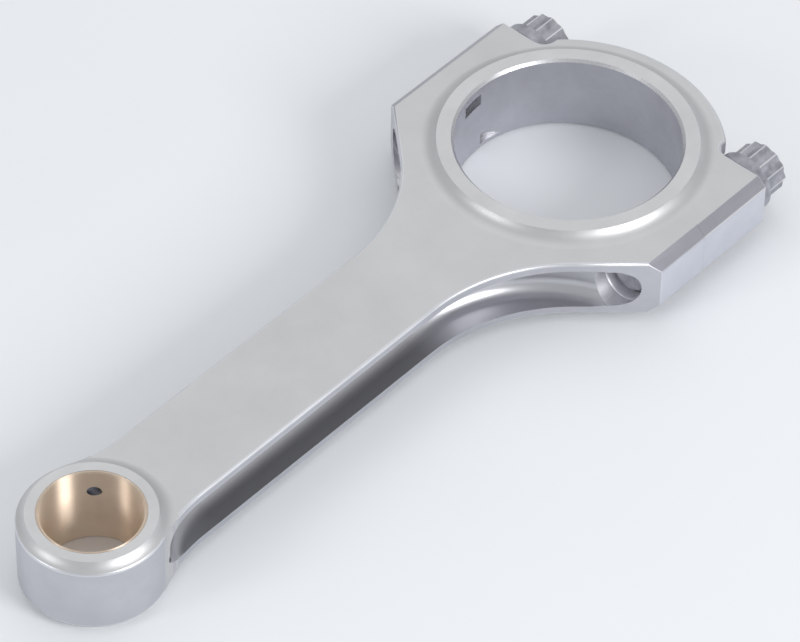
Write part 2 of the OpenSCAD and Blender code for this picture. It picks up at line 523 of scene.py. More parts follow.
@dataclass(frozen=True)
class BlastedSteel:
    """Shot-blasted forging surface: even satin grey with a fine peened grain."""

    name: str = "blasted_steel"
    colour: Triple = (0.66, 0.66, 0.665)
    variation: float = 0.04
    roughness: float = 0.46
    grain: float = 2600.0
    relief: float = 0.25

    def make(self) -> Material:
        """Builds the material."""
        sheet = Sheet(self.name)
        cloud = sheet.noise(sheet.place, 60.0, detail=4.0)
        grain = sheet.noise(sheet.place, self.grain, detail=4.0, rough=0.65)
        sheet.metal(self.colour, cloud, self.variation)
        sheet.roughness(grain, self.roughness, 0.05, 0.05)
        coarse = sheet.bump(sheet.noise(sheet.place, self.grain / 5.0), 0.02 * MM, self.relief)
        sheet.set("Normal", sheet.bump(grain, 0.008 * MM, self.relief, Normal=coarse))
        return sheet.material


@dataclass(frozen=True)
class GroundSteel:
    """Milled or ground steel, with fine straight tool marks."""

    name: str = "ground_steel"
    colour: Triple = (0.66, 0.665, 0.685)
    roughness: float = 0.34
    stretch: Triple = (60.0, 4200.0, 4200.0)
    relief: float = 0.2
    variation: float = 0.05

    def make(self) -> Material:
        """Builds the material."""
        sheet = Sheet(self.name)
        marks = sheet.noise(sheet.scaled(self.stretch), 1.0, detail=4.0, rough=0.6)
        cloud = sheet.noise(sheet.place, 90.0)
        sheet.metal(self.colour, cloud, self.variation)
        sheet.roughness(marks, self.roughness, 0.06, 0.06)
        sheet.set("Normal", sheet.bump(marks, 0.006 * MM, self.relief))
        return sheet.material


@dataclass(frozen=True)
class HonedBore:
    """Bored or honed round surface: tool marks that run round the bore and along it."""

    name: str
    colour: Triple
    centre: Triple = (0.0, 0.0, 0.0)
    roughness: float = 0.3
    depth: float = 0.03 * MM
    stretch: float = 0.0
    variation: float = 0.05

    def make(self) -> Material:
        """Builds the material."""
        sheet = Sheet(self.name)
        rings = sheet.noise(sheet.around(self.centre, 3.0, 5000.0), 1.0, detail=3.0)
        waves = sheet.noise(sheet.around(self.centre, 14.0, 900.0), 1.0, detail=2.0)
        cloud = sheet.noise(sheet.place, 120.0)
        sheet.metal(self.colour, cloud, self.variation)
        sheet.roughness(waves, self.roughness, 0.04, 0.04)
        sheet.set("Anisotropic", self.stretch)
        sheet.set("Anisotropic Rotation", 0.25)
        sheet.set("Normal", sheet.bump(rings, self.depth, 0.5))
        return sheet.material


@dataclass(frozen=True)
class GrooveSteel:
    """Rough-milled groove surface with painted shade: darker along the web, where the deep groove is
    in shade, than at its run-outs, and rougher there.
    """

    painted_shade_from: float
    painted_shade_to: float
    name: str = "groove_steel_painted_shade"
    # dark is the painted shade along the web; light is the steel's own colour at the run-outs.
    dark: Triple = (0.33, 0.33, 0.345)
    light: Triple = (0.58, 0.58, 0.61)
    fade: float = 12.0 * MM
    dull: float = 0.6
    bright: float = 0.31

    def make(self) -> Material:
        """Builds the material."""
        sheet = Sheet(self.name)
        along = sheet.add("SeparateXYZ", {0: sheet.place}).outputs["X"]
        near = sheet.spread(along, 0.0, 1.0, self.painted_shade_from - self.fade, self.painted_shade_from)
        far = sheet.spread(along, 1.0, 0.0, self.painted_shade_to, self.painted_shade_to + self.fade)
        painted_shade_mask = sheet.math("MINIMUM", near, far)
        grain = sheet.noise(sheet.place, 1800.0, detail=3.0)
        sheet.set("Metallic", 1.0)
        # Painted shade: the colour darkens from the run-outs towards the middle of the web.
        sheet.set("Base Color", sheet.blend(sheet.spread(painted_shade_mask, 0.3, 0.7, 0.0, 1.0),
                                            self.light, self.dark))
        sheet.set("Roughness", sheet.spread(painted_shade_mask, self.bright, self.dull, 0.0, 1.0))
        sheet.set("Normal", sheet.bump(grain, 0.004 * MM, 0.25))
        return sheet.material


@dataclass(frozen=True)
class BoltSteel:
    """Dark heat-treated bolt steel with a little oil on it."""

    name: str = "bolt_steel"
    colour: Triple = (0.42, 0.42, 0.46)
    roughness: float = 0.4
    variation: float = 0.2

    def make(self) -> Material:
        """Builds the material."""
        sheet = Sheet(self.name)
        cloud = sheet.noise(sheet.place, 500.0, detail=4.0)
        marks = sheet.noise(sheet.scaled((200.0, 3000.0, 3000.0)), 1.0, detail=3.0)
        sheet.metal(self.colour, cloud, self.variation)
        sheet.roughness(cloud, self.roughness, 0.08, 0.1)
        sheet.set("Normal", sheet.bump(marks, 0.01 * MM, 0.2))
        return sheet.material


class Finishes:
    """Every finish of the object, made once."""

    def __init__(self, small_end: float) -> None:
        """Makes the materials.

        Args:
            small_end: Distance from the origin to the small end's axis.
        """
        across = (4200.0, 300.0, 300.0)

        def ground(name: str, colour: Triple = GroundSteel.colour, **more: object) -> Material:
            """Makes a ground steel of its own name and colour."""
            return GroundSteel(f"{name}_steel", colour, **more).make()

        self.blasted = BlastedSteel().make()
        # The groove's colour is darkened along the web as painted shade.
        self.groove = GrooveSteel(painted_shade_from=small_end * 0.4, painted_shade_to=small_end * 0.83).make()
        self.side = ground("side", (0.69, 0.70, 0.76))
        self.flank = ground("flank", (0.58, 0.58, 0.62), roughness=0.42, relief=0.1)
        # Painted shade: the side bevels get a much darker steel than the flat ground sides.
        self.bevel = ground("bevel", (0.40, 0.395, 0.44), roughness=0.4)
        # The rounded edges' steel is lighter than the faces': partly bare worn metal, partly painted
        # highlight.
        self.edge = ground("edge", (0.73, 0.74, 0.77), roughness=0.4, relief=0.03)
        # Painted highlight: the groove and bolt-hole lips get a near-white steel.
        self.lip = ground("lip", (0.95, 0.95, 0.97), roughness=0.5, relief=0.03)
        self.seat = ground("seat", stretch=across)
        self.ring = ground("ring", (0.68, 0.68, 0.685), roughness=0.42, relief=0.12)
        self.mouth = ground("mouth", (0.7, 0.7, 0.72), roughness=0.3, relief=0.05)
        self.notch = ground("notch", (0.58, 0.58, 0.61), roughness=0.3, stretch=across)
        # Painted light: the bolt holes' steel is much lighter than the rest, to light up the
        # counterbores.
        self.hole = ground("hole", (0.85, 0.85, 0.88), roughness=0.5, stretch=across)
        # The bolt heads' rounded points are lighter than the head: partly worn metal, partly painted
        # highlight.
        self.ridge = ground("ridge", (0.75, 0.75, 0.78))
        self.sleeve = ground("sleeve", (0.5, 0.5, 0.52))
        self.bolt = BoltSteel().make()
        self.bore = HonedBore("bore_steel", (0.58, 0.58, 0.625), roughness=0.5,
                              depth=0.006 * MM).make()
        self.bronze = HonedBore("bronze", (1.0, 0.84, 0.69), (small_end, 0.0, 0.0),
                                roughness=0.55, depth=0.002 * MM, stretch=1.0).make()


def dress(piece: Piece, material: Material) -> Piece:
    """Gives a whole piece one finish.

    Args:
        piece: The piece to dress.
        material: The finish.

    Returns:
        The same piece.
    """
    piece.data.materials.clear()
    piece.data.materials.append(material)
    return piece


def is_upright(face: Face) -> bool:
    """Accepts the faces that stand square to the rod's flat sides."""
    return abs(face.normal.z) < 0.01


def dress_faces(piece: Piece, material: Material, wanted: Callable[[Face], bool]) -> None:
    """Gives some of a piece's faces another finish.

    Args:
        piece: The piece to dress.
        material: The finish.
        wanted: Test that a face has to pass.
    """
    slot = slot_of(piece, material)
    for face in piece.data.polygons:
        if wanted(face):
            face.material_index = slot


# ---------------------------------------------------------------- the big end


@dataclass(frozen=True)
class Envelope:
    """Sizes that the rod body and the cap share, read from the frame."""

    small_end: float
    housing: float
    pin: float
    half_width: float
    big_half: float
    seat: float

    half_body: float = 7.6 * MM
    ring: float = 3.9 * MM
    cove: float = 4.5 * MM
    side_bevel: float = 2.5 * MM
    bolt_inset: float = 8.0 * MM
    bore_edge: float = 0.6 * MM
    side_edge: float = 0.2 * MM
    parting_edge: float = 0.12 * MM
    overrun: float = 6.0 * MM
    bush: float = 11.7 * MM
    dowel: float = 5.5 * MM
    dowel_depth: float = 4.0 * MM
    clearance_hole: float = 4.9 * MM
    head_length: float = 10.0 * MM
    tang_radius: float = 10.5 * MM
    tang_depth: float = 1.3 * MM
    tang_width: float = 3.1 * MM

    @classmethod
    def from_frame(cls, record: dict) -> Envelope:
        """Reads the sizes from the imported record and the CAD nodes' boxes.

        Args:
            record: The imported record.

        Returns:
            The shared sizes.
        """
        mounts = {mount["name"]: mount for mount in record["mounts"]}
        _, rod_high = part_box("rod_body")
        bolt_low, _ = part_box("cap_bolt_near")
        return cls(small_end=mounts["pin_bore"]["pos_m"][0],
                   housing=mounts["big_end_bore"]["dims"]["r_mm"] * MM,
                   pin=mounts["pin_bore"]["dims"]["r_mm"] * MM,
                   half_width=rod_high[2],
                   big_half=rod_high[1],
                   seat=-bolt_low[0] - cls.head_length)

    @property
    def bolt_y(self) -> float:
        """Distance from the middle to each bolt's axis."""
        return self.big_half - self.bolt_inset

    @property
    def eye_centre(self) -> Vector:
        """Centre of the small end."""
        return Vector((self.small_end, 0.0, 0.0))

    def bolt_centre(self, side: Side) -> Vector:
        """Point of a bolt's axis on the parting plane."""
        return Vector((0.0, side.value * self.bolt_y, 0.0))

    def raised_ring(self, name: str, middle: float, inner: float, outer: float,
                    steps: int, rim: float | None = None) -> Piece:
        """Turns a raised ring with a cove down to the body, top and bottom.

        Args:
            name: Name of the new piece.
            middle: Distance from the origin to the ring's axis.
            inner: Inner radius.
            outer: Radius at which the raised flat ends and the cove starts.
            steps: Number of facets around.
            rim: Radius of the ring's outside, or None for the foot of the coves.

        Returns:
            The turned ring.
        """
        level = self.half_body - SINK + self.cove
        run = math.sqrt(self.cove ** 2 - (level - self.half_width) ** 2)
        outside = outer + run if rim is None else rim
        left = math.asin((outer + run - outside) / self.cove)
        sweep = math.degrees(math.asin(run / self.cove) - left)
        edge = level - self.cove * math.cos(left)
        turn = Vector((0.0, 1.0, 0.0))

        def point(out: float, height: float) -> Vector:
            """Gives a point of the ring's profile."""
            return Vector((middle + out, 0.0, height))

        pen = Pen(name, point(inner, -self.half_width))
        pen.line(point(outer, -self.half_width))
        pen.arc(point(outer + run, -level), sweep, 10, turn)
        pen.line(point(outside, edge))
        pen.arc(point(outer + run, level), sweep, 10, turn)
        pen.line(point(inner, self.half_width), point(inner, -self.half_width))
        return pen.turned(Vector((middle, 0.0, 0.0)), Axis.Z, steps)

    def thrust_ring(self) -> Piece:
        """Turns the big end's raised ring."""
        return self.raised_ring("thrust_ring", 0.0, self.housing - 5.0 * MM,
                                self.housing + self.ring, BIG_STEPS)

    def housing_cutter(self, finishes: Finishes) -> Piece:
        """Turns the boring bar's shape: the housing bore with both edges bevelled.

        Args:
            finishes: The finishes.

        Returns:
            The cutter.
        """
        past = 2.0 * MM
        wide = self.housing + self.bore_edge
        profile = [(-self.half_width - past, 0.0), (-self.half_width - past, wide + past),
                   (-self.half_width + self.bore_edge, self.housing),
                   (self.half_width - self.bore_edge, self.housing),
                   (self.half_width + past, wide + past), (self.half_width + past, 0.0)]
        tool = dress(turned_profile("housing_cutter", profile, Vector(), Axis.Z, BIG_STEPS),
                     finishes.bore)
        dress_faces(tool, finishes.mouth, lambda face: 0.1 < abs(face.normal.z) < 0.9)
        return tool

    def bevel_sides(self, piece: Piece) -> None:
        """Planes the 45 degree bevels along the big end's sides, above and below."""
        for across in (-1.0, 1.0):
            for above in (-1.0, 1.0):
                edge = Vector((0.0, across * (self.big_half - self.side_bevel),
                               above * self.half_body))
                slice_off(piece, edge, Vector((0.0, across, above)))

    def finish_faces(self, piece: Piece, finishes: Finishes) -> None:
        """Breaks the parting edges, and gives the ground faces their finishes.

        Args:
            piece: The rod body or the cap.
            finishes: The finishes.
        """
        outside = self.big_half - self.side_bevel - MM

        def on_parting(edge: Edge) -> bool:
            """Accepts the parting face's outer edges."""
            return is_sharp(edge, 40.0) and all(
                abs(vert.co.x) < WELD and abs(vert.co.y) > outside for vert in edge.verts)

        def on_side(face: Face) -> bool:
            """Accepts the flat sides."""
            return abs(face.normal.y) > 0.999 and abs(face.center.y) > self.big_half - WELD

        def on_bevel(face: Face) -> bool:
            """Accepts the side bevels."""
            slope = math.sqrt(0.5)
            return (abs(abs(face.normal.y) - slope) < 0.001 and abs(face.center.y) > outside
                    and abs(abs(face.normal.z) - slope) < 0.001)

        def on_ring(face: Face) -> bool:
            """Accepts the thrust rings' flats."""
            return abs(face.normal.z) > 0.999 and abs(face.center.z) > self.half_width - WELD

        round_edges(piece, on_parting, self.parting_edge, 1, clamp=True, finish=finishes.edge)
        dress_faces(piece, finishes.side, on_side)
        # The bevels' darker steel is painted shade.
        dress_faces(piece, finishes.bevel, on_bevel)
        dress_faces(piece, finishes.ring, on_ring)

    def tang_cutter(self, height: float, half: Side) -> Piece:
        """Makes the disc cutter of a tang notch.

        Args:
            height: Height of the notch's middle.
            half: NEAR for the rod's half of the bore (+X), FAR for the cap's.

        Returns:
            The cutter.
        """
        middle = self.tang_radius - self.housing - self.tang_depth
        bpy.ops.mesh.primitive_cylinder_add(vertices=96, radius=self.tang_radius,
                                            depth=self.tang_width, location=(0.0, middle, height))
        tool = bpy.context.active_object
        bpy.ops.object.transform_apply(location=True)
        slice_off(tool, Vector(), Vector((-half.value, 0.0, 0.0)))
        return tool


@dataclass(frozen=True)
class RodBody:
    """The forging: eye, H-beam, shoulders and the upper half of the big end."""

    env: Envelope
    finishes: Finishes

    beam_half: float = 11.9 * MM
    web_half: float = 4.7 * MM
    groove_half: float = 5.4 * MM
    groove_corner: float = 3.8 * MM
    flare: float = 42.0 * MM
    flare_angle: float = 47.5
    shoulder: float = 14.7 * MM
    blend: float = 40.0 * MM
    eye: float = 16.0 * MM
    eye_ring: float = 14.0 * MM
    edge: float = 0.6 * MM
    corner: float = 0.45 * MM
    lip: float = 0.4 * MM
    rim: float = 0.5 * MM
    big_wall: float = 6.8 * MM
    small_wall: float = 4.0 * MM
    groove_start: float = 3.4 * MM
    groove_stop: float = 11.0 * MM
    thread_hole: float = 4.81 * MM
    counterbore: float = 5.1 * MM
    counter_start: float = 3.3 * MM
    tang: float = 5.7 * MM

    @property
    def slant(self) -> float:
        """Angle of the flare's arc and of the slanted faces, in radians."""
        return math.radians(self.flare_angle)

    @property
    def slant_reach(self) -> float:
        """Distance from the origin to the slanted faces."""
        return (self.shoulder * math.sin(self.slant)
                + self.env.big_half * math.cos(self.slant))

    def off_slant(self, point: Vector) -> float:
        """Distance from a point, or its mirror image, to the slanted face."""
        return abs(point.x * math.sin(self.slant) + abs(point.y) * math.cos(self.slant)
                   - self.slant_reach)

    @property
    def flare_centre(self) -> Pair:
        """Centre of the flare's arc, tangent to the beam and to the slanted face."""
        y = self.beam_half + self.flare
        along = self.slant_reach + self.flare - y * math.cos(self.slant)
        return (along / math.sin(self.slant), y)

    @property
    def blend_centre(self) -> Pair:
        """Centre of the arc between the beam and the eye."""
        y = self.beam_half + self.blend
        away = math.sqrt((self.eye + self.blend) ** 2 - y ** 2)
        return (self.env.small_end - away, y)

    def _plate(self, name: str, half: float) -> Piece:
        """Draws the rod's outline, without its eye, and extrudes it.

        Args:
            name: Name of the new piece.
            half: Half of its thickness.

        Returns:
            The plate.
        """
        env = self.env
        big = env.big_half
        flare_x, flare_y = self.flare_centre
        blend_x, blend_y = self.blend_centre
        join = math.degrees(math.asin((env.small_end - blend_x) / (self.eye + self.blend)))
        flare_end = (flare_x - self.flare * math.sin(self.slant),
                     flare_y - self.flare * math.cos(self.slant))

        def point(x: float, y: float) -> Vector:
            """Gives a point of the outline at the plate's lower face."""
            return Vector((x, y, -half))

        pen = Pen(name, point(-env.overrun, -big))
        pen.line(point(self.shoulder, -big), point(flare_end[0], -flare_end[1]))
        pen.arc(point(flare_x, -flare_y), -self.flare_angle, 40)
        pen.line(point(blend_x + SINK, -self.beam_half))
        pen.arc(point(blend_x + SINK, -blend_y), -join, 20)
        pen.line(point(env.small_end, -self.eye / 2.0), point(env.small_end, self.eye / 2.0))
        start = math.radians(270.0 + join)
        pen.line(point(blend_x + SINK + self.blend * math.cos(start),
                       blend_y + self.blend * math.sin(start)))
        pen.arc(point(blend_x + SINK, blend_y), -join, 20)
        pen.line(point(flare_x, self.beam_half))
        pen.arc(point(flare_x, flare_y), -self.flare_angle, 40)
        pen.line(point(self.shoulder, big), point(-env.overrun, big),
                 point(-env.overrun, -big))
        return pen.extruded(Vector((0.0, 0.0, 2.0 * half)))

    def _round_outline(self, piece: Piece) -> None:
        """Rounds the outline's edges by hand-file size, and less along the bevelled sides."""
        env = self.env
        flat = env.big_half - env.side_bevel - 0.1 * MM

        def on_flank(edge: Edge) -> bool:
            """Accepts the edges between the flat faces and the flanks."""
            low = min(vert.co.x for vert in edge.verts)
            if low < self.shoulder - env.side_bevel or low > env.small_end - 3.0 * MM:
                return False
            wide = max(abs(vert.co.y) for vert in edge.verts)
            level = all(abs(abs(vert.co.z) - env.half_body) < WELD for vert in edge.verts)
            return is_sharp(edge, 30.0) and level and wide < flat + 0.2 * MM

        def on_corner(edge: Edge) -> bool:
            """Accepts the edges of the slanted faces with the sides and their bevels."""
            slanted = all(self.off_slant(vert.co) < 0.05 * MM for vert in edge.verts)
            wide = min(abs(vert.co.y) for vert in edge.verts) > flat
            return is_sharp(edge, 25.0) and slanted and wide

        def on_side(edge: Edge) -> bool:
            """Accepts the long edges of the side bevels."""
            wide = min(abs(vert.co.y) for vert in edge.verts) > flat
            return is_sharp(edge, 25.0) and wide and edge.calc_length() > LONG

        round_edges(piece, on_flank, self.edge, 4, clamp=True, finish=self.finishes.edge)
        round_edges(piece, on_corner, self.corner, 3, clamp=True, finish=self.finishes.edge)
        round_edges(piece, on_side, env.side_edge, 2)

    def _eye(self) -> Piece:
        """Turns the eye: a raised ring with a cove and a straight wall, with rounded rims."""
        env = self.env
        eye = env.raised_ring("eye_blank", env.small_end, env.bush - 3.0 * MM, self.eye_ring,
                              SMALL_STEPS, self.eye)
        dress(eye, self.finishes.blasted)
        dress_faces(eye, self.finishes.flank, is_upright)

        def on_rim(edge: Edge) -> bool:
            """Accepts the eye's outer rims."""
            return is_sharp(edge, 30.0) and all(
                (vert.co - env.eye_centre).to_2d().length > self.eye - 0.1 * MM for vert in edge.verts)

        round_edges(eye, on_rim, self.rim, 3, finish=self.finishes.edge)
        return eye

    def _eye_root(self) -> Piece:
        """Makes the part of the eye's cove that runs on over the beam."""
        env = self.env
        root = env.raised_ring("eye_root", env.small_end, env.bush - 2.0 * MM, self.eye_ring,
                               SMALL_STEPS)
        dress(root, self.finishes.blasted)
        outline = self._plate("outline", 2.0 * env.half_width)
        work(root, dress(outline, self.finishes.blasted), "INTERSECT")

        def on_edge(edge: Edge) -> bool:
            """Accepts the edges between the cove and the flanks."""
            return is_sharp(edge, 40.0) and all(
                on_arc(vert.co, self.blend_centre, self.blend, 0.06 * MM)
                for vert in edge.verts)

        round_edges(root, on_edge, self.rim, 3, clamp=True, finish=self.finishes.edge)
        return root

    def _run_out(self, reach: float, keep: float) -> float:
        """Gives the radius of a groove's run-out that passes a bore's axis at a distance."""
        web = self.web_half
        return (reach ** 2 + web ** 2 - keep ** 2) / (2.0 * (keep - web))

    def _groove_cutter(self, side: Side) -> Piece:
        """Makes the cutter of a side groove: round at both ends and along its floor's corners.

        Args:
            side: Side of the beam.

        Returns:
            The cutter.
        """
        flip = side.value
        flare_x, _ = self.flare_centre
        big_x = flare_x - self.groove_start
        small_x = self.env.small_end - self.eye - self.groove_stop
        big_r = self._run_out(big_x, self.env.housing + self.big_wall)
        small_r = self._run_out(self.env.small_end - small_x, self.env.bush + self.small_wall)
        floor = flip * self.web_half
        far = flip * (self.env.big_half + 8.0 * MM)

        def point(x: float, y: float) -> Vector:
            """Gives a point of the cutter's outline at its lower face."""
            return Vector((x, y, -self.groove_half))

        pen = Pen("groove_cutter", point(big_x - big_r, floor + flip * big_r))
        pen.arc(point(big_x, floor + flip * big_r), 90.0 * flip, 48)
        pen.line(point(small_x, floor))
        pen.arc(point(small_x, floor + flip * small_r), 80.0 * flip, 40)
        end_x = pen.at.x
        pen.line(point(end_x, far), point(big_x - big_r, far),
                 point(big_x - big_r, floor + flip * big_r))
        tool = pen.extruded(Vector((0.0, 0.0, 2.0 * self.groove_half)))

        def on_floor(edge: Edge) -> bool:
            """Accepts the long edges of the groove's floor and run-outs."""
            across = abs(edge.verts[0].co.z - edge.verts[1].co.z) > WELD
            outside = max(abs(vert.co.y) for vert in edge.verts) > abs(far) - MM
            return is_sharp(edge, 60.0) and not across and not outside

        round_edges(tool, on_floor, self.groove_corner, 8)
        return dress(tool, self.finishes.groove)

    def _bolt_cutter(self, side: Side) -> Piece:
        """Turns the cutter of a bolt hole: dowel seat, thread, countersink and counterbore."""
        dowel, depth, shank = self.env.dowel, self.env.dowel_depth, self.thread_hole
        mouth = self.shoulder + self.counter_start
        sink = 0.5 * MM
        past = 8.0 * MM
        end = mouth + 40.0 * MM
        profile = [(-past, 0.0), (-past, dowel), (depth, dowel), (depth, shank),
                   (mouth - sink, shank), (mouth, shank + 0.2 * MM), (mouth, self.counterbore),
                   (end, self.counterbore), (end, 0.0)]
        tool = turned_profile("bolt_hole_cutter", profile, self.env.bolt_centre(side), Axis.X,
                              BOLT_STEPS)
        # The hole's lighter steel is painted light in the counterbore.
        return dress(tool, self.finishes.hole)

    def _eye_cutter(self) -> Piece:
        """Turns the cutter of the bush's seat."""
        past = self.env.half_width + 2.0 * MM
        bush = self.env.bush
        profile = [(-past, 0.0), (-past, bush), (past, bush), (past, 0.0)]
        return turned_profile("bush_seat_cutter", profile, self.env.eye_centre, Axis.Z,
                              SMALL_STEPS)

    def _lips(self, piece: Piece) -> None:
        """Breaks the edges where the grooves and the bolt holes open on the flanks, and gives them a
        near-white finish as painted highlight.
        """
        flare_x, _ = self.flare_centre
        blend_x, _ = self.blend_centre
        near = 0.05 * MM

        def on_flank(point: Vector) -> bool:
            """Tells whether a point lies on the beam's flanks, the flares or the shoulders."""
            if abs(point.z) > self.groove_half + 0.3 * MM:
                return False
            if point.x > blend_x:
                return on_arc(point, self.blend_centre, self.blend, near)
            if point.x > flare_x:
                return abs(abs(point.y) - self.beam_half) < near
            if point.x > flare_x - self.flare * math.sin(self.slant):
                return on_arc(point, self.flare_centre, self.flare, near)
            return self.off_slant(point) < near

        def is_lip(edge: Edge) -> bool:
            """Accepts the sharp edges of the openings on the flanks."""
            return is_sharp(edge, 20.0) and all(on_flank(vert.co) for vert in edge.verts)

        round_edges(piece, is_lip, self.lip, 2, clamp=True, finish=self.finishes.lip)

    def build(self, drills: list[Piece]) -> Piece:
        """Makes the whole forging.

        Args:
            drills: Cutters of the oil holes.

        Returns:
            The finished piece.
        """
        env = self.env
        body = dress(self._plate("rod_body_steel", env.half_body), self.finishes.blasted)
        dress_faces(body, self.finishes.flank, is_upright)
        env.bevel_sides(body)
        self._round_outline(body)
        work(body, self._eye_root(), "UNION")
        work(body, self._eye(), "UNION")
        work(body, dress(env.thrust_ring(), self.finishes.blasted), "UNION")
        work(body, env.housing_cutter(self.finishes))
        work(body, dress(self._eye_cutter(), self.finishes.bore))
        for side in Side:
            work(body, self._groove_cutter(side))
            work(body, self._bolt_cutter(side))
        for drill in drills:
            work(body, drill)
        work(body, dress(env.tang_cutter(self.tang, Side.NEAR), self.finishes.notch))
        slice_off(body, Vector(), Vector((-1.0, 0.0, 0.0)))
        self._lips(body)
        env.finish_faces(body, self.finishes)
        polish(body)
        return body


@dataclass(frozen=True)
class BearingCap:
    """The cap that closes the big end: a round back with a boss for each bolt."""

    env: Envelope
    finishes: Finishes

    back: float = 10.0 * MM
    relief_inset: float = 6.6 * MM
    relief_corner: float = 3.0 * MM
    spot_face: float = 7.7 * MM
    dowel_gap: float = 0.05 * MM
    edge: float = 0.7 * MM
    tang: float = -6.7 * MM

    def _plate(self) -> Piece:
        """Draws the cap's outline and extrudes it to the body's thickness."""
        env = self.env
        radius = env.housing + self.back
        relief_y = env.bolt_y - self.relief_inset
        corner = self.relief_corner
        open_angle = math.degrees(math.asin(relief_y / radius))

        def point(x: float, y: float) -> Vector:
            """Gives a point of the outline at the plate's lower face."""
            return Vector((x, y, -env.half_body))

        pen = Pen("bearing_cap_steel", point(env.overrun, env.big_half))
        pen.line(point(-env.seat, env.big_half), point(-env.seat, relief_y + corner))
        pen.arc(point(-env.seat - corner, relief_y + corner), -90.0, 8)
        pen.line(point(-radius * math.cos(math.radians(open_angle)), relief_y))
        pen.arc(point(0.0, 0.0), 2.0 * open_angle, 96)
        pen.line(point(-env.seat - corner, -relief_y))
        pen.arc(point(-env.seat - corner, -relief_y - corner), -90.0, 8)
        pen.line(point(-env.seat, -env.big_half), point(env.overrun, -env.big_half),
                 point(env.overrun, env.big_half))
        return pen.extruded(Vector((0.0, 0.0, 2.0 * env.half_body)))

    def _bolt_cutter(self, side: Side) -> Piece:
        """Turns the cutter of a bolt's spot face, clearance hole and dowel hole."""
        seat, hole, depth = self.env.seat, self.env.clearance_hole, self.env.dowel_depth
        dowel = self.env.dowel + self.dowel_gap
        start, past = -seat - 16.0 * MM, 8.0 * MM
        profile = [(start, 0.0), (start, self.spot_face), (-seat, self.spot_face),
                   (-seat, hole), (-depth, hole), (-depth, dowel), (past, dowel), (past, 0.0)]
        tool = turned_profile("cap_hole_cutter", profile, self.env.bolt_centre(side), Axis.X, 96)
        return dress(tool, self.finishes.seat)

    def build(self) -> Piece:
        """Makes the whole cap.

        Returns:
            The finished piece.
        """
        env = self.env
        cap = dress(self._plate(), self.finishes.blasted)
        env.bevel_sides(cap)

        def on_back(edge: Edge) -> bool:
            """Accepts the outline's edges behind the bolts' seats."""
            level = all(abs(abs(vert.co.z) - env.half_body) < WELD for vert in edge.verts)
            behind = all(vert.co.x < -env.seat + WELD for vert in edge.verts)
            return is_sharp(edge, 30.0) and level and behind

        def on_side(edge: Edge) -> bool:
            """Accepts the long edges of the side bevels and the bosses' corners."""
            wide = min(abs(vert.co.y) for vert in edge.verts)
            ends = max(vert.co.x for vert in edge.verts) > env.overrun - MM
            return (is_sharp(edge, 25.0) and wide > env.big_half - env.side_bevel - 0.1 * MM
                    and (not ends or edge.calc_length() > LONG))

        round_edges(cap, on_back, self.edge, 4, finish=self.finishes.edge)
        round_edges(cap, on_side, env.side_edge, 2)
        work(cap, dress(env.thrust_ring(), self.finishes.blasted), "UNION")
        work(cap, env.housing_cutter(self.finishes))
        for side in Side:
            work(cap, self._bolt_cutter(side))
        work(cap, dress(env.tang_cutter(self.tang, Side.FAR), self.finishes.notch))
        slice_off(cap, Vector(), Vector((1.0, 0.0, 0.0)))
        env.finish_faces(cap, self.finishes)
        polish(cap)
        return cap


# ------------------------------------------------------------ bolts and inserts


